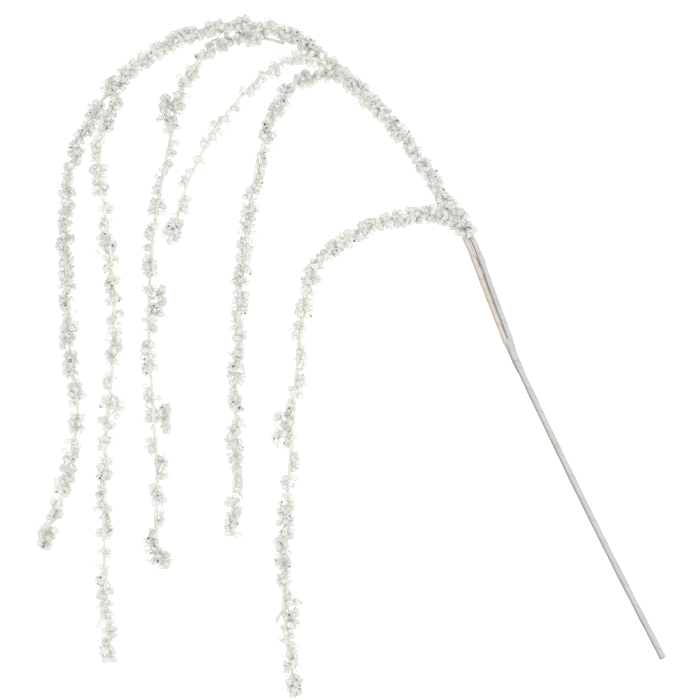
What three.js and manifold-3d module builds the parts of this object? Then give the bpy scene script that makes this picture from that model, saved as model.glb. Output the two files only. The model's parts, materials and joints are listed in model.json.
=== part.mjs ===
// Icicle hanging ornament: a weeping spray of bendable, wrapped wires that carry
// clear ice chips. A leaning stem forks in two, an arch leads to five hanging
// drops and a side strand leads to the sixth. Millimetres, +Z up, +X right, +Y back.
// The origin is the middle of the stem's cut end.
import * as THREE from 'three';
import { mergeVertices } from 'three/addons/utils/BufferGeometryUtils.js';
import Module from 'manifold-3d';

const wasm = await Module();
wasm.setup();

// driving dimensions
const coreRadius = 1.1; // steel wire inside the stem
const stemRadius = 2.6; // stem with its paper tape
const strandRadius = 1.6; // bare wrapped strands of the handle
const archRadius = 2.0; // wrapped bundle of the arch
const archCoreRadius = 0.8;
const dropRadius = 1.3; // covered wire of a drop
const gap = 0.3; // air between touching pieces
const bendGap = 1.2; // free wire at a bend, where a drop turns
const glueThickness = 1.6; // glue that fills in between the chips
const crystalReach = 8.2; // from a wire's middle out to the chips' corners
const slimReach = 6; // where a neighbour is close
const ringStep = 7.5; // distance between rings of chips along a wire
const crustSides = 6;
const leastJag = 0.25; // share of the reach that every corner stands out
const jagTurns = { ring: 12.99, corner: 78.23, spread: 437.6 }; // any large, uneven numbers
const archStep = 15; // length of one straight piece of the arch
const dropStep = 20; // and of a drop
const stemSides = 10;
const wireSides = 6;
const stemSteps = 5;
const tipLength = 9; // chips of a tip, above the wire's end
const tipPast = 5; // and below it
const tipReach = 6;
const collarBelowFork = 12;
const collarAboveFork = 16;
const collarWidth = 9.2; // across the two strands
const collarDepth = 6.6;
const tapeEndFrom = 82; // along the arch strand, from the fork
const tapeEndLength = 9;
const tapeEndHalf = [2.2, 2.9]; // half its width and half its depth
const tapeEndSag = 0.5; // it hangs a little below the strand
const stubLength = 1; // how far a cutter runs past the end that it opens

// stations where the wraps of the arch meet
const handleSteps = 8;
const lowerSteps = 20;
const crownSteps = 33;

// routes of the wires, hand-bent, as [x, y, z]
const stemStart = [0, 0, 0];
const stemBow = [-67, 0, 128];
const stemEnd = [-128, 0, 259];

const archRoute = [
  [-128, 0, 264], [-138, 0, 291], [-146, 0, 312], [-167, 0, 367],
  [-188, 1, 396], [-210, 2, 432], [-245, 3, 475], [-283, 4, 510],
  [-319, 4, 539], [-361, 3, 552], [-408, 1, 543], [-445, -1, 525],
  [-476, 0, 500], [-490, 2, 483],
];
const sideRoute = [
  [-131.6, 0, 262], [-143, 0, 291], [-151, 0, 312], [-172, 0, 365],
  [-181, -1, 379], [-197, -2, 386], [-228, -4, 383], [-261, -6, 373],
  [-288, -8, 355], [-304, -9, 337],
];
const leadRoutes = {
  drop_2: [[-468, -5, 499], [-478, -8, 482], [-484, -12, 464]],
  drop_3: [[-330, 7, 535], [-350, 8, 540], [-375, 9, 540], [-393, 11, 531], [-405, 12, 520]],
  drop_4: [[-289, -6, 512], [-302, -10, 520], [-317, -14, 522]],
  drop_5: [[-280, 6, 502], [-295, 7, 507], [-310, 8, 505], [-326, 10, 497]],
};
const dropRoutes = {
  drop_1: [
    [-490, 2, 483], [-507, 4, 452], [-517, 7, 415], [-521, 9, 370], [-518, 11, 305],
    [-517, 12, 262], [-510, 12, 213], [-520, 13, 160], [-531, 14, 122], [-542, 15, 97],
  ],
  drop_2: [
    [-484, -12, 464], [-490, -16, 436], [-489, -18, 412], [-483, -20, 375], [-477, -22, 320],
    [-477, -23, 264], [-483, -24, 200], [-485, -24, 120], [-484, -24, 60], [-481, -23, 12],
    [-482, -22, -2],
  ],
  drop_3: [
    [-405, 12, 520], [-419, 16, 496], [-427, 19, 464], [-436, 22, 420], [-444, 25, 372],
    [-448, 26, 320], [-448, 27, 270], [-444, 28, 205], [-441, 28, 150], [-442, 28, 105],
    [-438, 28, 86], [-431, 28, 79],
  ],
  drop_4: [
    [-317, -14, 522], [-336, -18, 514], [-357, -22, 497], [-380, -26, 470], [-400, -29, 438],
    [-415, -31, 405], [-428, -33, 360],
  ],
  drop_5: [
    [-326, 10, 497], [-337, 12, 475], [-350, 13, 440], [-359, 14, 398], [-366, 15, 340],
    [-371, 15, 281], [-373, 15, 170], [-375, 14, 106],
  ],
  drop_6: [
    [-304, -9, 337], [-312, -10, 305], [-318, -11, 255], [-323, -12, 184], [-329, -13, 110],
    [-330, -13, 60], [-326, -13, 10], [-318, -12, -31],
  ],
};

// where the crystals sit: [name, first, last] as shares of a wire's length, and how far
// they stand out from it
const archRuns = [
  ['lower', 0.205, 0.365, 9], ['shoulder', 0.375, 0.565, 10], ['crown', 0.575, 0.785, 7.5],
  ['outer', 0.795, 0.97, 9],
];
const sideRun = ['side_lead_crystals', 0.52, 0.97, crystalReach];
const leadRun = ['drop_3_lead_crystals', 0.1, 0.92, slimReach];
const dropRuns = {
  drop_1: [['upper', 0.03, 0.33, 8.2], ['middle', 0.34, 0.65, 8.2], ['lower', 0.66, 0.965, 7.6]],
  drop_2: [['upper', 0.04, 0.3, 7], ['middle', 0.33, 0.6, 7.4], ['lower', 0.62, 0.97, 6.8]],
  drop_3: [['upper', 0.03, 0.31, 8], ['middle', 0.34, 0.62, 7.4], ['lower', 0.64, 0.965, 8.2]],
  drop_4: [['upper', 0.05, 0.45, 6.6], ['lower', 0.48, 0.94, 6.2]],
  drop_5: [['upper', 0.03, 0.31, 7.6], ['middle', 0.325, 0.64, 8], ['lower', 0.655, 0.965, 7.6]],
  drop_6: [['upper', 0.03, 0.33, 8.2], ['middle', 0.345, 0.66, 8], ['lower', 0.675, 0.965, 7.4]],
};

// materials
const steel = () => new THREE.MeshStandardMaterial({ color: 0x8a7a6a, roughness: 0.5, metalness: 0.9 });
const paperTape = () => new THREE.MeshStandardMaterial({ color: 0xd9d9d6, roughness: 0.8 });
const wrappedWire = () => new THREE.MeshStandardMaterial({ color: 0xdcdacd, roughness: 0.7 });
const clearPlastic = () => new THREE.MeshStandardMaterial({
  color: 0xf0f2f2, roughness: 0.12, transparent: true, opacity: 0.45,
});

const group = new THREE.Group();

// geometry of a manifold solid and back
function toSolid(geometry) {
  const bare = geometry.clone();
  bare.deleteAttribute('normal');
  bare.deleteAttribute('uv');
  const merged = mergeVertices(bare, 1e-4);
  return new wasm.Manifold(new wasm.Mesh({
    numProp: 3,
    vertProperties: new Float32Array(merged.attributes.position.array),
    triVerts: new Uint32Array(merged.index.array),
  }));
}

function toGeometry(solid) {
  const mesh = solid.getMesh();
  const geometry = new THREE.BufferGeometry();
  geometry.setAttribute('position', new THREE.BufferAttribute(mesh.vertProperties, 3));
  geometry.setIndex(new THREE.BufferAttribute(mesh.triVerts, 1));
  geometry.computeVertexNormals();
  return geometry;
}

function addPiece(name, solid, material) {
  const mesh = new THREE.Mesh(toGeometry(solid), material);
  mesh.name = name;
  group.add(mesh);
}

// a stretch of a route, measured as shares of its length
class Stretch extends THREE.Curve {
  constructor(route, from, to) {
    super();
    this.route = route;
    this.from = from;
    this.to = to;
  }

  getPoint(t, target = new THREE.Vector3()) {
    const share = this.from + (this.to - this.from) * t;
    return this.route.getPointAt(THREE.MathUtils.clamp(share, 0, 1), target);
  }
}

function routeThrough(points) {
  const corners = points.map((point) => new THREE.Vector3(...point));
  return new THREE.CatmullRomCurve3(corners, false, 'centripetal');
}

function roundOutline(radius, sides) {
  const outline = new THREE.Shape();
  for (let i = 0; i < sides; i += 1) {
    const angle = (i / sides) * 2 * Math.PI;
    const point = [radius * Math.cos(angle), radius * Math.sin(angle)];
    if (i === 0) outline.moveTo(...point);
    else outline.lineTo(...point);
  }
  outline.closePath();
  return outline;
}

function tube(path, outline, steps) {
  return toSolid(new THREE.ExtrudeGeometry(outline, { steps, extrudePath: path }));
}

// The stations of a wire are the same for its skin, its glue and its bores, so the
// air between them stays even round a bend.
function makeWire(points, radius, step) {
  const route = routeThrough(points);
  const length = route.getLength();
  const steps = Math.max(2, Math.round(length / step));
  return { route, length, steps, radius };
}

// a tube on a wire's route, between two of its stations
function wireTube(wire, radius, first = 0, last = wire.steps, sides = wireSides) {
  const path = new Stretch(wire.route, first / wire.steps, last / wire.steps);
  return tube(path, roundOutline(radius, sides), Math.ceil(last - first - 0.01));
}

// the room that a wire takes, with the air round it and past its ends
function wireRoom(wire, radius = wire.radius) {
  const outline = roundOutline(radius + gap, wireSides);
  let room = wireTube(wire, radius + gap);
  for (const share of [0, 1]) {
    const end = wire.route.getPointAt(share);
    const outward = wire.route.getTangentAt(share).multiplyScalar(share === 0 ? -1 : 1);
    const inside = end.clone().addScaledVector(outward, -stubLength);
    const outside = end.clone().addScaledVector(outward, gap);
    room = room.add(tube(new THREE.LineCurve3(inside, outside), outline, 1));
  }
  return room;
}

// a length in millimetres as a number of stations
function stations(wire, length) {
  return (length / wire.length) * wire.steps;
}

const stemPath = new THREE.QuadraticBezierCurve3(
  new THREE.Vector3(...stemStart),
  new THREE.Vector3(...stemBow),
  new THREE.Vector3(...stemEnd),
);
const archWire = makeWire(archRoute, archRadius, archStep);
const sideWire = makeWire(sideRoute, strandRadius, archStep);
const leadWires = {};
const dropWires = {};
for (const [name, points] of Object.entries(leadRoutes)) {
  leadWires[name] = makeWire(points, dropRadius, archStep);
}
for (const [name, points] of Object.entries(dropRoutes)) {
  dropWires[name] = makeWire(points, dropRadius, dropStep);
}
const everyWire = [
  archWire, sideWire, ...Object.values(leadWires), ...Object.values(dropWires),
];

// how far a corner of the crust stands out, from 0 to 1: uneven, but the same on each run
function jag(ring, corner) {
  const value = Math.sin(ring * jagTurns.ring + corner * jagTurns.corner) * jagTurns.spread;
  return value - Math.floor(value);
}

// A crust of ice chips: a tube whose corners stand out by different amounts, and which
// closes down to the glue at both ends. The rings lie evenly on the path.
function crust(path, length, inner, reach, endRadius = inner) {
  const rings = Math.max(3, Math.round(length / ringStep));
  const unit = new THREE.ExtrudeGeometry(roundOutline(1, crustSides), {
    steps: rings, extrudePath: path,
  });
  const centres = path.getSpacedPoints(rings);
  const corners = unit.attributes.position;
  const corner = new THREE.Vector3();
  for (let i = 0; i < corners.count; i += 1) {
    corner.fromBufferAttribute(corners, i);
    const distances = centres.map((centre) => centre.distanceTo(corner));
    const ring = distances.indexOf(Math.min(...distances));
    const outward = corner.clone().sub(centres[ring]);
    const angle = Math.round((Math.atan2(outward.y, outward.x + outward.z) * crustSides) / Math.PI);
    let radius = inner + (reach - inner) * (leastJag + (1 - leastJag) * jag(ring, angle));
    if (ring === 0) radius = inner;
    if (ring === rings) radius = endRadius;
    corner.copy(centres[ring]).addScaledVector(outward, radius);
    corners.setXYZ(i, corner.x, corner.y, corner.z);
  }
  return toSolid(unit);
}

// the crust on a wire between two shares of its length, with the wire's bore
function crystalRun(run, wire, from, to, reach, rooms = []) {
  const path = new Stretch(wire.route, from, to);
  const inner = wire.radius + glueThickness;
  let crystals = crust(path, (to - from) * wire.length, inner, reach);
  for (const room of [wireRoom(wire), ...rooms]) crystals = crystals.subtract(room);
  addPiece(run, crystals, clearPlastic());
}

// the cluster of chips that closes the lower end of a drop
function tipCluster(run, wire) {
  const end = wire.route.getPointAt(1);
  const along = wire.route.getTangentAt(1);
  const path = new THREE.LineCurve3(
    end.clone().addScaledVector(along, -tipLength),
    end.clone().addScaledVector(along, tipPast),
  );
  const inner = wire.radius + glueThickness;
  const cluster = crust(path, tipLength + tipPast, inner, tipReach, 1);
  addPiece(run, cluster.subtract(wireRoom(wire)), clearPlastic());
}

// handle: a steel core in paper tape
function stem() {
  const core = tube(stemPath, roundOutline(coreRadius, stemSides), stemSteps);
  addPiece('stem_core_wire', core, steel());
  const tape = tube(stemPath, roundOutline(stemRadius, stemSides), stemSteps);
  let bore = tube(stemPath, roundOutline(coreRadius + gap, stemSides), stemSteps);
  for (const share of [0, 1]) {
    const end = stemPath.getPointAt(share);
    const along = stemPath.getTangentAt(share);
    const stub = new THREE.LineCurve3(
      end.clone().addScaledVector(along, -stubLength),
      end.clone().addScaledVector(along, stubLength),
    );
    bore = bore.add(tube(stub, roundOutline(coreRadius + gap, stemSides), 1));
  }
  addPiece('stem_tape_wrap', tape.subtract(bore), paperTape());
}

// tape round the fork, where the stem ends and the two strands begin
function forkCollar() {
  const along = stemPath.getTangentAt(1);
  const end = stemPath.getPointAt(1);
  const low = end.clone().addScaledVector(along, -collarBelowFork);
  const high = end.clone().addScaledVector(along, collarAboveFork);
  const outline = new THREE.Shape();
  outline.absellipse(0, 0, collarDepth / 2, collarWidth / 2, 0, 2 * Math.PI);
  const path = new THREE.LineCurve3(low, high);
  const collar = toSolid(new THREE.ExtrudeGeometry(outline, {
    steps: 1, extrudePath: path, curveSegments: 5,
  }));
  const stemLine = new THREE.LineCurve3(
    end.clone().addScaledVector(along, -collarBelowFork - stubLength),
    end.clone().addScaledVector(along, gap),
  );
  addPiece('fork_tape_collar', collar
    .subtract(tube(stemLine, roundOutline(stemRadius + gap, stemSides), 1))
    .subtract(wireRoom(archWire, strandRadius))
    .subtract(wireRoom(sideWire)), paperTape());
}

// a loose end of tape folded over on the arch strand
function strandTapeEnd() {
  const path = new Stretch(
    archWire.route,
    tapeEndFrom / archWire.length,
    (tapeEndFrom + tapeEndLength) / archWire.length,
  );
  const outline = new THREE.Shape();
  outline.absellipse(0, -tapeEndSag, ...tapeEndHalf, 0, 2 * Math.PI);
  const fold = toSolid(new THREE.ExtrudeGeometry(outline, {
    steps: 1, extrudePath: path, curveSegments: 4,
  }));
  addPiece('strand_tape_end', fold.subtract(wireRoom(archWire, strandRadius)), paperTape());
}

// a wrapped stretch of a wire, with the bore for its steel core
function wrap(name, wire, radius, first, last) {
  const trim = stations(wire, gap / 2);
  const skin = wireTube(wire, radius, first + trim, last - trim);
  addPiece(name, skin.subtract(wireTube(wire, archCoreRadius + gap)), wrappedWire());
}

function arch() {
  const bend = stations(archWire, bendGap / 2);
  const core = wireTube(archWire, archCoreRadius, 0, archWire.steps - bend, 6);
  addPiece('arch_core_wire', core, steel());
  wrap('arch_strand_wrap', archWire, strandRadius, 0, handleSteps);
  wrap('arch_wrap_lower', archWire, archRadius, handleSteps, lowerSteps);
  wrap('arch_wrap_crown', archWire, archRadius, lowerSteps, crownSteps);
  wrap('arch_wrap_outer', archWire, archRadius, crownSteps, archWire.steps - bend);
}

function sideStrand() {
  const bend = stations(sideWire, bendGap / 2);
  const core = wireTube(sideWire, archCoreRadius, 0, sideWire.steps - bend, 6);
  addPiece('side_core_wire', core, steel());
  wrap('side_strand_wrap', sideWire, strandRadius, 0, handleSteps);
  wrap('side_lead_wrap', sideWire, strandRadius, handleSteps, sideWire.steps - bend);
}

function leads() {
  for (const [name, wire] of Object.entries(leadWires)) {
    const bend = stations(wire, bendGap / 2);
    addPiece(`${name}_lead`, wireTube(wire, wire.radius, 0, wire.steps - bend), wrappedWire());
  }
}

function archCrystals() {
  const rooms = [wireRoom(sideWire), ...Object.values(leadWires).map((wire) => wireRoom(wire))];
  for (const [name, from, to, reach] of archRuns) {
    crystalRun(`arch_crystals_${name}`, archWire, from, to, reach, rooms);
  }
  const archRoom = wireRoom(archWire);
  crystalRun(sideRun[0], sideWire, ...sideRun.slice(1), [archRoom]);
  crystalRun(leadRun[0], leadWires.drop_3, ...leadRun.slice(1), [archRoom]);
}

function drops() {
  for (const [name, wire] of Object.entries(dropWires)) {
    const bend = stations(wire, bendGap / 2);
    addPiece(`${name}_wire`, wireTube(wire, wire.radius, bend), wrappedWire());
    for (const [part, from, to, reach] of dropRuns[name]) {
      crystalRun(`${name}_crystals_${part}`, wire, from, to, reach);
    }
    tipCluster(`${name}_tip`, wire);
  }
}

stem();
forkCollar();
strandTapeEnd();
arch();
sideStrand();
leads();
archCrystals();
drops();

export default group;
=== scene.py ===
# Icicle hanging ornament: a weeping spray of wrapped wires with clear ice chips glued
# round them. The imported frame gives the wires' places; every skin and chip is made here.
import json
import math
import random

import bmesh
import bpy
from mathutils import Matrix, Vector, geometry, noise


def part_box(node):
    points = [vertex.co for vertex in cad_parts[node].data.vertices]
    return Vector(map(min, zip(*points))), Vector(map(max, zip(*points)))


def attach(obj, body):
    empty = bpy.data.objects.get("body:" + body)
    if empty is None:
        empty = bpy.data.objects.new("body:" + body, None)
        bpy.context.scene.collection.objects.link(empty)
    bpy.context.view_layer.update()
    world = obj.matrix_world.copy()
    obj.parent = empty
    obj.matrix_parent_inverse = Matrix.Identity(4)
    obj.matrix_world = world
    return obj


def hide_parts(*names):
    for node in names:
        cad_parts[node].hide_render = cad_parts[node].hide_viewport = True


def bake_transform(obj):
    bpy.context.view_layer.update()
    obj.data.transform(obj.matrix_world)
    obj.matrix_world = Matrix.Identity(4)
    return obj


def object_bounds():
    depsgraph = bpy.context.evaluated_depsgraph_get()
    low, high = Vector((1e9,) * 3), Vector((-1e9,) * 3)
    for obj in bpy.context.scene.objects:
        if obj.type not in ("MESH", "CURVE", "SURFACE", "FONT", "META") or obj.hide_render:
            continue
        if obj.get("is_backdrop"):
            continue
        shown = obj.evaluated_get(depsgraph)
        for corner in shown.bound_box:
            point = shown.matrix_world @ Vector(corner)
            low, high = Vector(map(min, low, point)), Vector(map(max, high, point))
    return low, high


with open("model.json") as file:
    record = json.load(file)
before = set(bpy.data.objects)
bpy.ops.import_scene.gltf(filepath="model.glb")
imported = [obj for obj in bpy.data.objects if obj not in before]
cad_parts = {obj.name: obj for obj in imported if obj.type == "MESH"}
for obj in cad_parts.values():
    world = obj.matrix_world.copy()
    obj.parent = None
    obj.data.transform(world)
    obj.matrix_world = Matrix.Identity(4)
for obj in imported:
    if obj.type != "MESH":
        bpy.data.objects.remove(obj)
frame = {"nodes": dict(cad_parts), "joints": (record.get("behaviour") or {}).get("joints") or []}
cadLow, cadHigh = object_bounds()
mm = 0.001
joints = {joint["child"]: Vector(joint["pos_m"]) for joint in frame["joints"]}
print("frame loaded:", len(frame["nodes"]), "nodes,", len(joints), "bends")


def linear(hexColour):
    channels = [int(hexColour[i:i + 2], 16) / 255 for i in (1, 3, 5)]
    flat = [c / 12.92 if c <= 0.04045 else ((c + 0.055) / 1.055) ** 2.4 for c in channels]
    return (*flat, 1.0)


def addNode(tree, kind, settings=None, inputs=None):
    # an input's value is a number or colour, or an output socket to join
    node = tree.nodes.new(kind)
    for key, value in (settings or {}).items():
        setattr(node, key, value)
    for key, value in (inputs or {}).items():
        if isinstance(value, bpy.types.NodeSocket):
            tree.links.new(value, node.inputs[key])
        else:
            node.inputs[key].default_value = value
    return node


def newMaterial(name):
    material = bpy.data.materials.new(name)
    material.use_nodes = True
    material.node_tree.nodes.clear()
    return material, material.node_tree


def perMetre(size):
    return 1 / (size * mm)  # texture scale for a pattern whose size is in millimetres


# a Mix node's sockets for colours, by number, since its other sockets have the same names
mix = {"share": 0, "first": 6, "second": 7, "colour": 2}


# crushed acrylic, more frosted than clear: pale with sharp glossy facets, slow ripples from
# the mould, painted shade on its bevelled edges and a few dark flecks of painted reflection, as
# where a facet mirrors something dark. Some of the light goes straight through, so that a
# thick bunch of chips stays nearly as pale as a thin one
def iceAcrylic():
    look = {
        "clear": "#fffffd",
        "grey": "#fafaf6",  # chips differ a little in how clear they are
        "paintedRimShade": "#efeeea",  # painted shade: the bevelled edges are darker, where light runs out of a chip, so they draw its outline
        # painted reflection: dark flecks stand in for facets that mirror something dark
        "paintedReflection": "#4a4845",
        "paintedReflectionSize": 1.7,
        "paintedReflectionShare": 0.008,
        "frost": 0.76,
        "see": 0.24,  # share of the light that goes straight through
        "ior": 1.49,
        "roughness": (0.03, 0.16),
        "chipSize": 7,
        "rippleSize": 2.4,
        "rippleHeight": 0.04 * mm,
    }
    material, tree = newMaterial("iceAcrylic")
    place = addNode(tree, "ShaderNodeTexCoord").outputs["Object"]
    patches = addNode(tree, "ShaderNodeTexNoise", None, {
        "Vector": place, "Scale": perMetre(look["chipSize"]), "Detail": 1.0,
    })
    spread = addNode(tree, "ShaderNodeMapRange", None, {
        "Value": patches.outputs["Fac"], "From Min": 0.38, "From Max": 0.62,
    })
    tint = addNode(tree, "ShaderNodeMix", {"data_type": "RGBA"}, {
        mix["share"]: spread.outputs["Result"],
        mix["first"]: linear(look["clear"]),
        mix["second"]: linear(look["grey"]),
    })
    cells = addNode(tree, "ShaderNodeTexVoronoi", None, {
        "Vector": place, "Scale": perMetre(look["paintedReflectionSize"]),
    })
    drawn = addNode(tree, "ShaderNodeSeparateXYZ", None, {0: cells.outputs["Color"]})
    # where the painted dark reflections go
    dark = addNode(tree, "ShaderNodeMath", {"operation": "GREATER_THAN"}, {
        0: drawn.outputs["X"], 1: 1 - look["paintedReflectionShare"],
    })
    # bevel faces, which take the painted rim shade
    edge = addNode(tree, "ShaderNodeAttribute", {"attribute_name": "edge"})
    withRimShade = addNode(tree, "ShaderNodeMix", {"data_type": "RGBA"}, {
        mix["share"]: edge.outputs["Fac"],
        mix["first"]: tint.outputs[mix["colour"]],
        mix["second"]: linear(look["paintedRimShade"]),
    })
    withPaintedReflections = addNode(tree, "ShaderNodeMix", {"data_type": "RGBA"}, {
        mix["share"]: dark.outputs[0],
        mix["first"]: withRimShade.outputs[mix["colour"]],
        mix["second"]: linear(look["paintedReflection"]),
    })
    gloss = addNode(tree, "ShaderNodeMapRange", None, {
        "Value": patches.outputs["Fac"], "From Min": 0.3, "From Max": 0.7,
        "To Min": look["roughness"][0], "To Max": look["roughness"][1],
    })
    ripple = addNode(tree, "ShaderNodeTexNoise", None, {
        "Vector": place, "Scale": perMetre(look["rippleSize"]), "Detail": 2.0,
    })
    bump = addNode(tree, "ShaderNodeBump", None, {
        "Height": ripple.outputs["Fac"], "Strength": 0.5, "Distance": look["rippleHeight"],
    })
    shader = addNode(tree, "ShaderNodeBsdfPrincipled", None, {
        "Base Color": withPaintedReflections.outputs[mix["colour"]], "Roughness": gloss.outputs["Result"],
        "IOR": look["ior"],
        "Transmission Weight": 1 - look["frost"], "Alpha": 1 - look["see"],
        "Normal": bump.outputs["Normal"],
    })
    addNode(tree, "ShaderNodeOutputMaterial", None, {"Surface": shader.outputs[0]})
    return material


# hot glue: milky, a little yellow, with soft lumps where it set
def setGlue():
    look = {
        "milky": "#f6f5f0", "yellow": "#ebe8dc", "blotchSize": 18, "lumpSize": 3.0,
        "lumpHeight": 0.4 * mm, "roughness": 0.32, "ior": 1.48, "transmission": 0.15,
    }
    material, tree = newMaterial("setGlue")
    place = addNode(tree, "ShaderNodeTexCoord").outputs["Object"]
    lumps = addNode(tree, "ShaderNodeTexNoise", None, {
        "Vector": place, "Scale": perMetre(look["lumpSize"]), "Detail": 3.0,
    })
    blotch = addNode(tree, "ShaderNodeTexNoise", None, {
        "Vector": place, "Scale": perMetre(look["blotchSize"]), "Detail": 2.0,
    })
    spread = addNode(tree, "ShaderNodeMapRange", None, {
        "Value": blotch.outputs["Fac"], "From Min": 0.4, "From Max": 0.62,
    })
    tint = addNode(tree, "ShaderNodeMix", {"data_type": "RGBA"}, {
        mix["share"]: spread.outputs["Result"],
        mix["first"]: linear(look["milky"]),
        mix["second"]: linear(look["yellow"]),
    })
    bump = addNode(tree, "ShaderNodeBump", None, {
        "Height": lumps.outputs["Fac"], "Strength": 0.8, "Distance": look["lumpHeight"],
    })
    shader = addNode(tree, "ShaderNodeBsdfPrincipled", None, {
        "Base Color": tint.outputs[mix["colour"]], "Roughness": look["roughness"],
        "IOR": look["ior"], "Transmission Weight": look["transmission"],
        "Normal": bump.outputs["Normal"],
    })
    addNode(tree, "ShaderNodeOutputMaterial", None, {"Surface": shader.outputs[0]})
    return material


# paper twisted round wire: matt cream, a fine slanting thread
def wirePaper():
    look = {
        "cream": "#e4e2da", "shade": "#d9d6ca", "blotchSize": 9, "threadPitch": 1.1,
        "threadHeight": 0.1 * mm, "roughness": 0.68,
    }
    material, tree = newMaterial("wirePaper")
    around = addNode(tree, "ShaderNodeUVMap").outputs["UV"]
    place = addNode(tree, "ShaderNodeTexCoord").outputs["Object"]
    parts = addNode(tree, "ShaderNodeSeparateXYZ", None, {0: around})
    turns = addNode(tree, "ShaderNodeMath", {"operation": "MULTIPLY_ADD"}, {
        0: parts.outputs["Y"], 1: perMetre(look["threadPitch"]), 2: parts.outputs["X"],
    })
    thread = addNode(tree, "ShaderNodeMath", {"operation": "PINGPONG"}, {0: turns.outputs[0], 1: 0.5})
    blotch = addNode(tree, "ShaderNodeTexNoise", None, {
        "Vector": place, "Scale": perMetre(look["blotchSize"]), "Detail": 3.0,
    })
    spread = addNode(tree, "ShaderNodeMapRange", None, {
        "Value": blotch.outputs["Fac"], "From Min": 0.38, "From Max": 0.64,
    })
    tint = addNode(tree, "ShaderNodeMix", {"data_type": "RGBA"}, {
        mix["share"]: spread.outputs["Result"],
        mix["first"]: linear(look["cream"]),
        mix["second"]: linear(look["shade"]),
    })
    bump = addNode(tree, "ShaderNodeBump", None, {
        "Height": thread.outputs[0], "Strength": 0.7, "Distance": look["threadHeight"],
    })
    shader = addNode(tree, "ShaderNodeBsdfPrincipled", None, {
        "Base Color": tint.outputs[mix["colour"]], "Roughness": look["roughness"],
        "Normal": bump.outputs["Normal"],
    })
    addNode(tree, "ShaderNodeOutputMaterial", None, {"Surface": shader.outputs[0]})
    return material


# stretched crepe tape: cool white, or warmer where it has aged, a low step at each turn with
# painted shade before it, small creases, and a band of painted shade down one side
tapeLooks = {
    "crepeTape": {"white": "#c1c3c4", "stain": "#b9b5ad", "lapShade": "#b6b4af", "paintedShadeBand": "#8c7b68"},
    "agedTape": {"white": "#cac7bf", "stain": "#bfb8ab", "lapShade": "#b6afa2", "paintedShadeBand": "#af9d88"},
}


def crepeTape(name):
    look = {
        **tapeLooks[name],
        "turnPitch": 21, "lapHeight": 0.12 * mm, "stainSize": 22, "creaseSize": 0.9,
        "creaseShare": 0.35,  # how high a crease stands against a lap
        "shadeBandAt": 0.345, "shadeBandHalf": 0.14,  # the painted shade band's middle and half its width, in turns
        "shadeBandDepth": 0.85,  # how much of the painted shade's colour shows in its middle
        "roughness": 0.6,
    }
    material, tree = newMaterial(name)
    around = addNode(tree, "ShaderNodeUVMap").outputs["UV"]
    place = addNode(tree, "ShaderNodeTexCoord").outputs["Object"]
    parts = addNode(tree, "ShaderNodeSeparateXYZ", None, {0: around})
    turns = addNode(tree, "ShaderNodeMath", {"operation": "MULTIPLY_ADD"}, {
        0: parts.outputs["Y"], 1: perMetre(look["turnPitch"]), 2: parts.outputs["X"],
    })
    step = addNode(tree, "ShaderNodeMath", {"operation": "FRACT"}, {0: turns.outputs[0]})
    # painted shade: darker just before each turn's step
    lapShade = addNode(tree, "ShaderNodeMapRange", None, {
        "Value": step.outputs[0], "From Min": 0.86, "From Max": 1.0,
    })
    stains = addNode(tree, "ShaderNodeTexNoise", None, {
        "Vector": place, "Scale": perMetre(look["stainSize"]), "Detail": 3.0,
    })
    stain = addNode(tree, "ShaderNodeMapRange", None, {
        "Value": stains.outputs["Fac"], "From Min": 0.5, "From Max": 0.72,
    })
    plain = addNode(tree, "ShaderNodeMix", {"data_type": "RGBA"}, {
        mix["share"]: stain.outputs["Result"],
        mix["first"]: linear(look["white"]),
        mix["second"]: linear(look["stain"]),
    })
    lapShaded = addNode(tree, "ShaderNodeMix", {"data_type": "RGBA"}, {
        mix["share"]: lapShade.outputs["Result"],
        mix["first"]: plain.outputs[mix["colour"]],
        mix["second"]: linear(look["lapShade"]),
    })
    # painted shade: a brownish band at one place round the tape darkens that side of the strand like a
    # shadowed edge
    side = addNode(tree, "ShaderNodeMath", {"operation": "SUBTRACT"}, {
        0: parts.outputs["X"], 1: look["shadeBandAt"],
    })
    away = addNode(tree, "ShaderNodeMath", {"operation": "ABSOLUTE"}, {0: side.outputs[0]})
    paintedShadeBand = addNode(tree, "ShaderNodeMapRange", {"interpolation_type": "SMOOTHSTEP"}, {
        "Value": away.outputs[0], "From Min": 0.0, "From Max": look["shadeBandHalf"],
        "To Min": look["shadeBandDepth"], "To Max": 0.0,
    })
    tint = addNode(tree, "ShaderNodeMix", {"data_type": "RGBA"}, {
        mix["share"]: paintedShadeBand.outputs["Result"],
        mix["first"]: lapShaded.outputs[mix["colour"]],
        mix["second"]: linear(look["paintedShadeBand"]),
    })
    creases = addNode(tree, "ShaderNodeTexNoise", None, {
        "Vector": place, "Scale": perMetre(look["creaseSize"]), "Detail": 2.0,
    })
    height = addNode(tree, "ShaderNodeMath", {"operation": "MULTIPLY_ADD"}, {
        0: creases.outputs["Fac"], 1: look["creaseShare"], 2: step.outputs[0],
    })
    bump = addNode(tree, "ShaderNodeBump", None, {
        "Height": height.outputs[0], "Strength": 0.8, "Distance": look["lapHeight"],
    })
    shader = addNode(tree, "ShaderNodeBsdfPrincipled", None, {
        "Base Color": tint.outputs[mix["colour"]], "Roughness": look["roughness"],
        "Normal": bump.outputs["Normal"],
    })
    addNode(tree, "ShaderNodeOutputMaterial", None, {"Surface": shader.outputs[0]})
    return material


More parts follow.
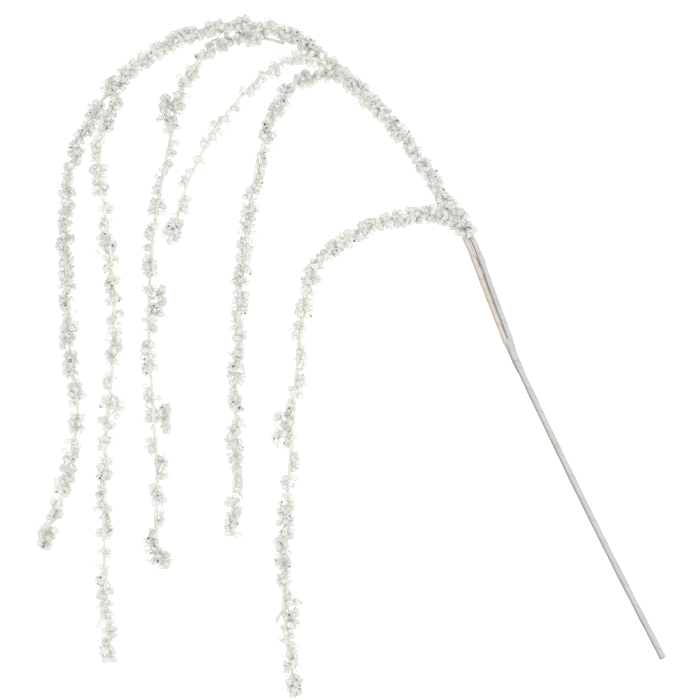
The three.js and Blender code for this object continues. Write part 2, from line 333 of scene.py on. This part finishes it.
# annealed steel wire: dull brown grey, with rust where it was cut
def rustyWire():
    look = {
        "steel": "#8d8176", "rust": "#8a5736", "rustSize": 0.8, "rustHeight": 0.05 * mm,
        "metallic": 0.8, "roughness": (0.35, 0.8),
    }
    material, tree = newMaterial("rustyWire")
    place = addNode(tree, "ShaderNodeTexCoord").outputs["Object"]
    rust = addNode(tree, "ShaderNodeTexNoise", None, {
        "Vector": place, "Scale": perMetre(look["rustSize"]), "Detail": 4.0,
    })
    spread = addNode(tree, "ShaderNodeMapRange", None, {
        "Value": rust.outputs["Fac"], "From Min": 0.4, "From Max": 0.6,
    })
    tint = addNode(tree, "ShaderNodeMix", {"data_type": "RGBA"}, {
        mix["share"]: spread.outputs["Result"],
        mix["first"]: linear(look["steel"]),
        mix["second"]: linear(look["rust"]),
    })
    dull = addNode(tree, "ShaderNodeMapRange", None, {
        "Value": rust.outputs["Fac"],
        "To Min": look["roughness"][0], "To Max": look["roughness"][1],
    })
    bump = addNode(tree, "ShaderNodeBump", None, {
        "Height": rust.outputs["Fac"], "Strength": 0.4, "Distance": look["rustHeight"],
    })
    shader = addNode(tree, "ShaderNodeBsdfPrincipled", None, {
        "Base Color": tint.outputs[mix["colour"]], "Metallic": look["metallic"],
        "Roughness": dull.outputs["Result"], "Normal": bump.outputs["Normal"],
    })
    addNode(tree, "ShaderNodeOutputMaterial", None, {"Surface": shader.outputs[0]})
    return material


ice, glue, paper, steel = iceAcrylic(), setGlue(), wirePaper(), rustyWire()
tape, aged = crepeTape("crepeTape"), crepeTape("agedTape")
print("materials made")


def ringCentres(nodes, startPoint, ringWidth=6 * mm):
    # corners of a wire's solid that lie close together are one of its rings
    rings = []
    for name in nodes:
        for vertex in frame["nodes"][name].data.vertices:
            near = next((r for r in rings if (r[0] - vertex.co).length < ringWidth), None)
            if near:
                near.append(vertex.co.copy())
            else:
                rings.append([vertex.co.copy()])
    left = []
    for ring in rings:
        low = Vector(map(min, zip(*ring)))
        high = Vector(map(max, zip(*ring)))
        left.append((low + high) / 2)
    line = [min(left, key=lambda c: (c - startPoint).length)]
    left.remove(line[0])
    while left:
        line.append(min(left, key=lambda c: (c - line[-1]).length))
        left.remove(line[-1])
    return line


def smoothLine(corners, spacing=2.5 * mm):
    points = []
    for i in range(len(corners) - 1):
        before, first = corners[max(i - 1, 0)], corners[i]
        second, after = corners[i + 1], corners[min(i + 2, len(corners) - 1)]
        reach = (second - first).length / 3
        firstWay = (second - before).normalized() * reach
        secondWay = (after - first).normalized() * reach
        steps = max(2, round((second - first).length / spacing))
        bit = geometry.interpolate_bezier(first, first + firstWay, second - secondWay, second, steps + 1)
        points += bit[:-1]
    return points + [corners[-1]]


def measured(points):
    lengths = [0.0]
    for a, b in zip(points, points[1:]):
        lengths.append(lengths[-1] + (b - a).length)
    return lengths


def pointAt(points, lengths, distance):
    # the point at a distance along a line, and the line's way there
    hair = 1e-7  # keeps the far end inside the last stretch
    distance = min(max(distance, 0), lengths[-1] - hair)
    i = next(k for k in range(len(points) - 1) if lengths[k + 1] > distance)
    share = (distance - lengths[i]) / (lengths[i + 1] - lengths[i])
    return points[i].lerp(points[i + 1], share), (points[i + 1] - points[i]).normalized()


def sweep(points, widths, sides, flatten=1.0):
    # a circle carried along a line, one ring at each point, closed at both ends
    bm = bmesh.new()
    around = bm.verts.layers.float.new("around")
    along = bm.verts.layers.float.new("along")
    ring = bmesh.ops.create_circle(bm, cap_ends=False, segments=sides, radius=1.0)["verts"]
    for i, vertex in enumerate(ring):
        vertex[around] = i / sides
    edges = list(bm.edges)
    lengths = measured(points)
    turn = None
    last = Matrix.Identity(4)
    for i, point in enumerate(points):
        way = (points[min(i + 1, len(points) - 1)] - points[max(i - 1, 0)]).normalized()
        if turn is None:
            turn = Vector((0, 0, 1)).rotation_difference(way)
        else:
            turn = lastWay.rotation_difference(way) @ turn
            grown = bmesh.ops.extrude_edge_only(bm, edges=edges)["geom"]
            ring = [g for g in grown if isinstance(g, bmesh.types.BMVert)]
            edges = [g for g in grown if isinstance(g, bmesh.types.BMEdge)]
        size = Matrix.Diagonal((widths[i], widths[i] * flatten, widths[i], 1))
        here = Matrix.Translation(point) @ turn.to_matrix().to_4x4() @ size
        bmesh.ops.transform(bm, matrix=here @ last.inverted(), verts=ring)
        for vertex in ring:
            vertex[along] = lengths[i]
        last, lastWay = here, way
    bmesh.ops.holes_fill(bm, edges=[e for e in bm.edges if e.is_boundary], sides=0)
    bmesh.ops.recalc_face_normals(bm, faces=bm.faces)
    unwrap = bm.loops.layers.uv.new("UVMap")
    for face in bm.faces:
        face.smooth = True
        shares = [loop.vert[around] for loop in face.loops]
        wraps = max(shares) - min(shares) > 0.5
        for loop, share in zip(face.loops, shares):
            loop[unwrap].uv = (share + 1 if wraps and share < 0.5 else share, loop.vert[along])
    return bm


def makePiece(name, bm, material, body, nodes=()):
    mesh = bpy.data.meshes.new(name)
    bm.to_mesh(mesh)
    bm.free()
    mesh.materials.append(material)
    piece = bpy.data.objects.new(name, mesh)
    bpy.context.collection.objects.link(piece)
    if nodes:
        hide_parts(*nodes)
    if body in joints:
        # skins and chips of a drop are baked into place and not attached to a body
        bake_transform(piece)
    else:
        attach(piece, body)
    return piece


def joinInto(bm, other):
    mesh = bpy.data.meshes.new("part")
    other.to_mesh(mesh)
    other.free()
    bm.from_mesh(mesh)
    bpy.data.meshes.remove(mesh)


collarLow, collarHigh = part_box("fork_tape_collar")
fork = (collarLow + collarHigh) / 2
archNodes = ["arch_strand_wrap", "arch_wrap_lower", "arch_wrap_crown", "arch_wrap_outer"]
sideNodes = ["side_strand_wrap", "side_lead_wrap"]
stemRings = ringCentres(["stem_tape_wrap"], Vector((0, 0, 0)))
archLine = smoothLine(ringCentres(archNodes, fork))
sideLine = smoothLine(ringCentres(sideNodes, fork))
dropNames = [f"drop_{i}" for i in range(1, 7)]
dropLines, bendWays = {}, {}
for name in dropNames:
    rings = ringCentres([f"{name}_wire"], joints[name])
    lead = f"{name}_lead"
    leadRings = ringCentres([lead], joints[name])[::-1] if lead in frame["nodes"] else []
    whole = smoothLine(leadRings + rings)
    dropLines[name] = whole
    near = min(range(len(whole)), key=lambda i: (whole[i] - joints[name]).length)
    bendWays[name] = (whole[min(near + 2, len(whole) - 1)] - whole[max(near - 2, 0)]).normalized()
print("routes found:", {n: round(measured(p)[-1] / mm) for n, p in dropLines.items()})


# ice chips: a handful of crushed shapes, each placed hundreds of times
chipForms = [
    # sides, inner and outer radius, length and flatness of a chip, how round its edges are
    {"sides": 4, "inner": 2.2, "outer": 3.9, "length": 6.2, "flat": 0.7, "edge": 0.9, "steps": 1},
    {"sides": 3, "inner": 2.0, "outer": 4.4, "length": 6.0, "flat": 0.7, "edge": 1.0, "steps": 2},
    {"sides": 6, "inner": 2.1, "outer": 3.6, "length": 5.4, "flat": 0.62, "edge": 0.9, "steps": 1},
    {"sides": 4, "inner": 3.2, "outer": 3.4, "length": 4.6, "flat": 0.85, "edge": 1.0, "steps": 1},
    {"sides": 5, "inner": 3.4, "outer": 2.0, "length": 6.6, "flat": 0.65, "edge": 0.8, "steps": 1},
    {"sides": 3, "inner": 2.4, "outer": 2.9, "length": 7.6, "flat": 0.9, "edge": 0.8, "steps": 2},
]
chips = {
    "seed": 41,
    "copies": 2,  # of each form, knocked about differently
    "knock": 0.45,  # how far a corner is knocked out of place, in mm
    "root": (2.4, 5.6),  # how far a chip's middle stands off the wire, least and most, in mm
    "size": (0.85, 1.35),
    "fullness": 1.75,  # every count of chips below is multiplied by this
    "lean": 0.75,  # how far chips tip along the wire
    "wobble": 0.3,  # and any other way
    "spread": 48,  # degrees round the wire, where they sit on one side only
}


def chipMesh(form, dice):
    bm = bmesh.new()
    edge = bm.faces.layers.float.new("edge")
    bmesh.ops.create_cone(
        bm, cap_ends=True, segments=form["sides"], radius1=form["inner"] * mm,
        radius2=form["outer"] * mm, depth=form["length"] * mm,
    )
    for vertex in bm.verts:  # no two corners are broken alike
        knock = Vector([dice.uniform(-1, 1) for axis in range(3)])
        bmesh.ops.translate(bm, vec=knock * chips["knock"] * mm, verts=[vertex])
    bmesh.ops.scale(bm, vec=(1, form["flat"], 1), verts=bm.verts)
    rounded = bmesh.ops.bevel(
        bm, geom=bm.edges[:], offset=form["edge"] * mm, segments=form["steps"], affect="EDGES",
        profile=0.5, material=-1, clamp_overlap=True,
    )
    # bevel faces are marked for the painted rim shade of iceAcrylic
    for face in rounded["faces"]:
        face[edge] = 1
    bmesh.ops.recalc_face_normals(bm, faces=bm.faces)  # the facets stay flat, as broken acrylic
    mesh = bpy.data.meshes.new("chip")
    bm.to_mesh(mesh)
    bm.free()
    return mesh


dice = random.Random(chips["seed"])
chipMeshes = [chipMesh(form, dice) for form in chipForms for copy in range(chips["copies"])]

def addChip(bm, point, outward, along, dice, stand):
    tip = outward + along * dice.uniform(-1, 1) * chips["lean"]
    wobble = chips["wobble"]
    tip += Vector([dice.uniform(-wobble, wobble) for axis in range(3)])
    turn = Vector((0, 0, 1)).rotation_difference(tip.normalized()).to_matrix().to_4x4()
    roll = Matrix.Rotation(dice.uniform(0, math.tau), 4, "Z")
    size = Matrix.Scale(dice.uniform(*chips["size"]), 4)
    before = len(bm.verts)
    bm.from_mesh(dice.choice(chipMeshes))
    bm.verts.ensure_lookup_table()
    place = Matrix.Translation(point + outward * stand) @ turn @ roll @ size
    bmesh.ops.transform(bm, matrix=place, verts=bm.verts[before:])


def addCluster(bm, line, lengths, start, cluster, dice):
    # a cluster is where it begins and ends in mm from the start, its side, how many, and how
    # far out the twig stands that it hangs on
    low, high, side, count, out = (*cluster, 0)[:5]
    for number in range(round(count * chips["fullness"])):
        distance = start + dice.uniform(low, high) * mm
        point, along = pointAt(line, lengths, distance)
        across = along.cross(Vector((0, 1, 0))).normalized()
        depth = across.cross(along)
        angle = dice.uniform(0, math.tau)
        if dice.random() < abs(side):
            angle = math.radians(dice.gauss(0, chips["spread"])) + (math.pi if side < 0 else 0)
        outward = across * math.cos(angle) + depth * math.sin(angle)
        stand = dice.uniform(*chips["root"]) * mm
        if out:
            point = point + across * (math.copysign(out, side) * mm)
        addChip(bm, point, outward, along, dice, stand)


def uneven(place, size, amount):
    # a slow random swing about 1, the same on each run
    return 1 + amount * noise.noise(place / (size * mm))


# handle: steel core, paper tape, the collar at the fork and the folded tape end
stem = {
    "core": 1.1, "tape": 2.9,  # radii
    "coreOut": 0.5,  # the core stands out of the cut
    "lip": 0.25, "lipRings": 2,  # the cut pushed the tape's edge out a little
    "spacing": 2.5, "uneven": (14, 0.09), "coreSides": 16, "tapeSides": 24,
}
stemLine = smoothLine(stemRings, stem["spacing"] * mm)
core = [stemLine[0] - (stemLine[1] - stemLine[0]).normalized() * stem["coreOut"] * mm] + stemLine[1:]
coreWidths = [stem["core"] * mm] * len(core)
makePiece(
    "stemCore", sweep(core, coreWidths, stem["coreSides"]), steel, "spray", ["stem_core_wire"],
)
tapeWidths = []
for i, point in enumerate(stemLine):
    nearCut = max(0, 1 - i / stem["lipRings"])
    tapeWidths.append((stem["tape"] * uneven(point, *stem["uneven"]) + nearCut * stem["lip"]) * mm)
makePiece(
    "stemTape", sweep(stemLine, tapeWidths, stem["tapeSides"]), tape, "spray", ["stem_tape_wrap"],
)
print("stem done")

collar = {
    "below": 10, "above": 16,  # how far it reaches from the fork
    "over": 0.3,  # it is wound over the stem's tape
    "half": 3.6, "flat": 0.74, "spacing": 1, "leastStep": 0.5, "uneven": (6, 0.06), "sides": 24,
}
stemLengths, archLengths = measured(stemLine), measured(archLine)
sideLengths = measured(sideLine)
collarLine, collarWidths = [], []
for step in range(-collar["below"], collar["above"] + 1, collar["spacing"]):
    if step < 0:
        point = pointAt(stemLine, stemLengths, stemLengths[-1] + step * mm)[0]
    else:
        left = pointAt(sideLine, sideLengths, step * mm)[0]
        point = (pointAt(archLine, archLengths, step * mm)[0] + left) / 2
    if not collarLine or (point - collarLine[-1]).length > collar["leastStep"] * mm:
        collarLine.append(point)
        share = (step + collar["below"]) / (collar["below"] + collar["above"])
        full = stem["tape"] + collar["over"] + (collar["half"] - stem["tape"]) * share
        collarWidths.append(full * uneven(point, *collar["uneven"]) * mm)
makePiece(
    "forkCollar", sweep(collarLine, collarWidths, collar["sides"], collar["flat"]), tape, "spray",
    ["fork_tape_collar"],
)

tapeEnd = {
    "low": 82, "high": 91, "margin": 3,  # along the arch strand, from the fork
    "swell": 3.1, "strand": 2.0, "flat": 0.85, "sides": 20,
}
endLine, endWidths = [], []
middle = (tapeEnd["low"] + tapeEnd["high"]) / 2
for step in range(tapeEnd["low"] - tapeEnd["margin"], tapeEnd["high"] + tapeEnd["margin"] + 1):
    endLine.append(pointAt(archLine, archLengths, step * mm)[0])
    reach = max(0, 1 - abs(step - middle) / (middle - tapeEnd["low"] + tapeEnd["margin"]))
    swell = (tapeEnd["swell"] - tapeEnd["strand"]) * reach ** 0.5
    endWidths.append((tapeEnd["strand"] + swell) * mm)
makePiece(
    "strandTapeEnd", sweep(endLine, endWidths, tapeEnd["sides"], tapeEnd["flat"]), tape, "spray",
    ["strand_tape_end"],
)

# arch and side strand, taped as far as the first chips
strands = {
    "arch": (2.6, 1.5), "side": (2.6, 1.45),  # radius, and radius at the far end
    "taper": 25,  # length over which the far end thins
    "slip": 0.5, "opening": 28,  # a strand starts thin and slips out of the stem's tape
    "tapedTo": 128, "uneven": (10, 0.16), "tapeSides": 20, "wrapSides": 16,
}


def strandPiece(name, line, cover, nodes):
    radius, ending = strands[name]
    lengths = measured(line)
    cut = next(i for i, length in enumerate(lengths) if length > strands["tapedTo"] * mm)
    widths = []
    for point, length in zip(line, lengths):
        left = (lengths[-1] - length) / (strands["taper"] * mm)
        thin = ending + (radius - ending) * min(1, left)
        thin *= min(1, strands["slip"] + length / (strands["opening"] * mm))
        widths.append(thin * uneven(point, *strands["uneven"]) * mm)
    taped = sweep(line[:cut + 1], widths[:cut + 1], strands["tapeSides"])
    makePiece(f"{name}Tape", taped, cover, "spray", nodes[:1])
    wrapped = sweep(line[cut - 1:], widths[cut - 1:], strands["wrapSides"])
    makePiece(f"{name}Wrap", wrapped, paper, "spray", nodes[1:])


strandPiece("arch", archLine, tape, archNodes)
strandPiece("side", sideLine, aged, sideNodes)
print("arch and side strand done")

# each drop, from the bend down: how much of it is crowded before gaps begin, how long its
# bunches and gaps are in mm, how many bunches sit on one side, chips per mm and small twigs
drops = {
    "drop_1": {"crowded": 0.6, "bunch": (12, 32), "gap": (1, 9), "oneSided": 0.25, "chips": 0.72,
               "twigs": 1, "offshoots": []},
    "drop_2": {"crowded": 0.1, "bunch": (7, 20), "gap": (0, 7), "oneSided": 0.45, "chips": 0.66,
               "twigs": 5, "offshoots": ["upperLoop", "middleLoop"]},
    "drop_3": {"crowded": 0.12, "bunch": (7, 20), "gap": (1, 9), "oneSided": 0.5, "chips": 0.6,
               "twigs": 4, "offshoots": ["highTuft", "broadLoop", "lowTuft", "lowLoop", "hook"]},
    "drop_4": {"crowded": 0.15, "bunch": (7, 16), "gap": (1, 8), "oneSided": 0.5, "chips": 0.52,
               "twigs": 0, "offshoots": []},
    "drop_5": {"crowded": 0.45, "bunch": (8, 24), "gap": (1, 6), "oneSided": 0.3, "chips": 0.66,
               "twigs": 2, "offshoots": []},
    "drop_6": {"crowded": 0.1, "bunch": (8, 24), "gap": (0, 6), "oneSided": 0.35, "chips": 0.7,
               "twigs": 4, "offshoots": ["sideTuft", "rightTuft"]},
}
# twigs that stand out: the share of the drop where each leaves, how far out it goes (minus
# is left) and how long it is, both in mm, its chips, and whether it loops back to the wire
offshoots = {
    "upperLoop": (0.2, -7, 22, 3, True), "middleLoop": (0.5, 8, 22, 4, True),
    "highTuft": (0.08, -10, 25, 12, True), "broadLoop": (0.45, 9, 26, 12, True),
    "lowTuft": (0.68, 9, 26, 12, False), "lowLoop": (0.78, 5, 22, 6, True),
    "hook": (0.94, -7, 20, 8, False), "sideTuft": (0.34, -12, 30, 11, False),
    "rightTuft": (0.78, 8, 24, 8, False),
}
growth = {
    "seed": 700,  # of the first drop, and one more for each after it
    "lead": 0.8,  # how much of the lead above the bend is covered
    "tuft": (16, 12),  # length of the bunch that closes the end in mm, and its chips
    "aside": (0.7, 1),  # how strictly a bunch on one side keeps to it
    "thinner": 0.6,  # chips in a bunch on one side, against a bunch all round
    "offshootAside": 0.6, "offshootOut": 0.8,  # its chips sit short of how far out it goes
    "twigAt": (0.15, 0.9), "twigLength": (7, 14), "twigOut": (4, 8), "twigLoops": 0.2,
}


def grow(look, length, lead, dice):
    # bunches from the top down, as start and end in mm below the bend, side and chips
    bunches = []
    tuftLength, tuftChips = growth["tuft"]
    low = -lead * growth["lead"]
    while low < length - tuftLength:
        high = min(low + dice.uniform(*look["bunch"]), length)
        aside = low > 0 and dice.random() < look["oneSided"]
        side = dice.choice((-1, 1)) * dice.uniform(*growth["aside"]) if aside else 0
        count = (high - low) * look["chips"] * (growth["thinner"] if aside else 1)
        bunches.append((low, high, side, max(1, round(count))))
        low = high + (dice.uniform(*look["gap"]) if high > look["crowded"] * length else 0)
    bunches.append((length - tuftLength, length, 0, tuftChips))
    twigs = []
    for name in look["offshoots"]:
        share, out, span, count, loop = offshoots[name]
        low = share * length
        high = min(low + span, length)
        twigs.append((low, high, out, loop))
        side = math.copysign(growth["offshootAside"], out)
        bunches.append((low, high, side, count, abs(out) * growth["offshootOut"]))
    for number in range(look["twigs"]):
        low = dice.uniform(*growth["twigAt"]) * length
        out = dice.choice((-1, 1)) * dice.uniform(*growth["twigOut"])
        high = low + dice.uniform(*growth["twigLength"])
        twigs.append((low, high, out, dice.random() < growth["twigLoops"]))
    return bunches, twigs


wire = {"radius": 1.45, "sides": 12, "uneven": (7, 0.14), "behind": 9}
coat = {
    "radius": 2.1, "hidden": 1.1,  # where it shows, and where it lies inside the wire's cover
    "fade": 4,  # length over which it thins beside a bunch
    "dense": 0.35,  # chips per mm that a bunch with glue has at least
    "lumpSize": 5, "drop": (0.9, 0.5), "strand": (1.1, 0.55),  # lumps: middle and swing
    "sides": 12,
}
twig = {
    "radius": 1.0, "sides": 8, "spacing": 1.5,
    "stations": (0, 0.25, 0.5, 0.75, 1),  # shares of its stretch of the drop
    "straighten": 1.35,  # an open twig is all the way out before its end
    "sway": 1.5,  # to the front and back, in mm
}


def glueRadius(point, kind):
    # in mm, lumpy along the line
    middle, swing = coat[kind]
    return coat["radius"] * (middle + swing * noise.noise(point / (coat["lumpSize"] * mm)))


for number, (name, look) in enumerate(drops.items()):
    dice = random.Random(growth["seed"] + number)
    line = dropLines[name]
    lengths = measured(line)
    start = lengths[min(range(len(line)), key=lambda i: (line[i] - joints[name]).length)]
    bunches, twigLines = grow(look, (lengths[-1] - start) / mm, start / mm, dice)
    piece = name.replace("_", "")
    lead = [f"{name}_lead"] if f"{name}_lead" in frame["nodes"] else []
    shell = [n for n in frame["nodes"] if n.startswith((f"{name}_crystals", f"{name}_tip"))]
    skin = line
    if not lead:  # the wire starts inside the strand that it hangs from
        strand = archLine if name == "drop_1" else sideLine
        total = measured(strand)
        skin = [pointAt(strand, total, total[-1] - wire["behind"] * mm)[0]] + line
    widths = [wire["radius"] * uneven(point, *wire["uneven"]) * mm for point in skin]
    cover = sweep(skin, widths, wire["sides"])
    makePiece(f"{piece}Wire", cover, paper, name, [f"{name}_wire"] + lead)

    # glue stands round the wire where a bunch is dense enough, and not along offshoots
    glueWidths = []
    for point, length in zip(line, lengths):
        here = (length - start) / mm
        gaps = [max(low - here, here - high, 0) for low, high, side, count, *out in bunches
                if count / max(high - low, 1) > coat["dense"] and not out]
        thick = max(0, 1 - min(gaps) / coat["fade"])
        full = glueRadius(point, "drop")
        glueWidths.append((coat["hidden"] + max(0, full - coat["hidden"]) * thick) * mm)
    makePiece(f"{piece}Glue", sweep(line[2:-1], glueWidths[2:-1], coat["sides"]), glue, name)

    twigs = bmesh.new()
    for low, high, out, loop in twigLines:
        points = []
        for share in twig["stations"]:
            point, along = pointAt(line, lengths, start + (low + (high - low) * share) * mm)
            across = along.cross(Vector((0, 1, 0))).normalized()
            shape = math.sin(math.pi * share) if loop else min(1, share * twig["straighten"])
            sway = Vector()
            if 0 < share < 1:  # both ends stay put
                sway = Vector((0, dice.uniform(-twig["sway"], twig["sway"]), 0)) * mm
            points.append(point + across * out * shape * mm + sway)
        path = smoothLine(points, twig["spacing"] * mm)
        joinInto(twigs, sweep(path, [twig["radius"] * mm] * len(path), twig["sides"]))
    if twigs.verts:
        makePiece(f"{piece}Twigs", twigs, paper, name)
    else:
        twigs.free()

    cluster = bmesh.new()
    for entry in bunches:
        addCluster(cluster, line, lengths, start, entry, dice)
    leadShell = [n for n in frame["nodes"] if n == f"{name}_lead_crystals"]
    makePiece(f"{piece}Chips", cluster, ice, name, shell + leadShell)
    print(piece, "done")

# chips along the arch and the side strand: start and end in mm from the fork, side, chips
spans = {
    "arch": {
        "line": archLine, "nodes": "arch_crystals", "seed": 51,
        "clusters": [
            (112, 118, 0, 8), (118, 160, 0, 42), (160, 190, 0, 34), (190, 240, 0, 54),
            (240, 290, 0, 54), (290, 340, 0, 50), (340, 370, 0, 26), (370, 430, 0, 44),
            (430, 480, 0, 40), (480, 528, 0, 44),
        ],
    },
    "side": {
        "line": sideLine, "nodes": "side_lead_crystals", "seed": 52,
        "clusters": [
            (115, 126, 0, 8), (126, 150, 0, 30), (150, 185, 0, 38), (185, 215, 0, 28),
            (215, 250, 0, 32), (250, 268, 0, 16),
        ],
    },
}
for name, look in spans.items():
    dice = random.Random(look["seed"])
    lengths = measured(look["line"])
    cluster = bmesh.new()
    for entry in look["clusters"]:
        addCluster(cluster, look["line"], lengths, 0, entry, dice)
    shell = [n for n in frame["nodes"] if n.startswith(look["nodes"])]
    makePiece(f"{name}Chips", cluster, ice, "spray", shell)
    first = next(i for i, length in enumerate(lengths) if length > look["clusters"][0][0] * mm)
    coated = look["line"][first:-2]
    widths = [glueRadius(point, "strand") * mm for point in coated]
    widths[0] = widths[-1] = coat["hidden"] * mm
    makePiece(f"{name}Glue", sweep(coated, widths, coat["sides"]), glue, "spray")
    print(name, "chips done")

for name in ("arch_core_wire", "side_core_wire"):
    frame["nodes"][name].data.materials.clear()
    frame["nodes"][name].data.materials.append(steel)

# studio: white floor and a bright band at the horizon, darker overhead, two soft boxes
studio = {
    "floorDrop": 12,  # below the object, in mm; the other lengths here are in metres
    "floorSize": 400, "floorColour": "#e8e8e8", "floorGlow": 0.42, "floorRoughness": 0.9,
    "band": 1.17,  # how bright the sky is
    "sky": [(0.3, "#ffffff"), (0.6, "#eceded"), (0.9, "#dcdedf"), (0.96, "#26282b")],
    "distance": 4.0, "lens": 236.5, "aim": (-0.2723, 0.268),  # aim is x and z
    "bounces": 32, "clearBounces": 96,  # light passes many chips in a row
}
bm = bmesh.new()
bmesh.ops.create_grid(bm, x_segments=1, y_segments=1, size=studio["floorSize"])
lowest = cadLow.z - studio["floorDrop"] * mm
bmesh.ops.translate(bm, vec=(0, 0, lowest), verts=bm.verts)
floorMesh = bpy.data.meshes.new("floor")
bm.to_mesh(floorMesh)
bm.free()
floor = bpy.data.objects.new("floor", floorMesh)
bpy.context.collection.objects.link(floor)
floor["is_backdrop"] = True
floorPaint, tree = newMaterial("floorPaint")  # matt white, lit from within so it stays white
shader = addNode(tree, "ShaderNodeBsdfPrincipled", None, {
    "Base Color": linear(studio["floorColour"]), "Roughness": studio["floorRoughness"],
    "Emission Color": linear("#ffffff"), "Emission Strength": studio["floorGlow"],
})
addNode(tree, "ShaderNodeOutputMaterial", None, {"Surface": shader.outputs[0]})
floorMesh.materials.append(floorPaint)

world = bpy.data.worlds.new("studio")
bpy.context.scene.world = world
world.use_nodes = True
tree = world.node_tree
tree.nodes.clear()
way = addNode(tree, "ShaderNodeTexCoord").outputs["Generated"]
parts = addNode(tree, "ShaderNodeSeparateXYZ", None, {0: way})
sky = addNode(tree, "ShaderNodeValToRGB", None, {"Fac": parts.outputs["Z"]})
stops = sky.color_ramp.elements
stops[0].position, stops[0].color = studio["sky"][0][0], linear(studio["sky"][0][1])
stops[1].position, stops[1].color = studio["sky"][-1][0], linear(studio["sky"][-1][1])
for position, colour in studio["sky"][1:-1]:
    stops.new(position).color = linear(colour)
light = addNode(tree, "ShaderNodeBackground", None, {
    "Color": sky.outputs["Color"], "Strength": studio["band"],
})
addNode(tree, "ShaderNodeOutputWorld", None, {"Surface": light.outputs[0]})

boxes = [
    # name, place, power, width and height of the box
    ("keyBox", (0.9, -1.5, 1.6), 7, 1.2, 0.8),
    ("fillBox", (-2.0, -1.4, 0.9), 2, 1.0, 1.4),
]
middle = (cadLow + cadHigh) / 2
for name, place, power, width, height in boxes:
    lamp = bpy.data.lights.new(name, "AREA")
    lamp.shape = "RECTANGLE"
    lamp.energy, lamp.size, lamp.size_y = power, width, height
    box = bpy.data.objects.new(name, lamp)
    box.location = Vector(place)
    box.rotation_euler = (middle - Vector(place)).to_track_quat("-Z", "Y").to_euler()
    bpy.context.collection.objects.link(box)

camera = bpy.data.objects.new("camera", bpy.data.cameras.new("camera"))
camera.data.lens = studio["lens"]
camera.location = (studio["aim"][0], middle.y - studio["distance"], studio["aim"][1])
camera.rotation_euler = (math.radians(90), 0, 0)
bpy.context.collection.objects.link(camera)
scene = bpy.context.scene
scene.camera = camera
scene.view_settings.view_transform = "Standard"
for kind in ("max", "transmission", "glossy", "diffuse"):
    setattr(scene.cycles, f"{kind}_bounces", studio["bounces"])
scene.cycles.transparent_max_bounces = studio["clearBounces"]

low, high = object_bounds()
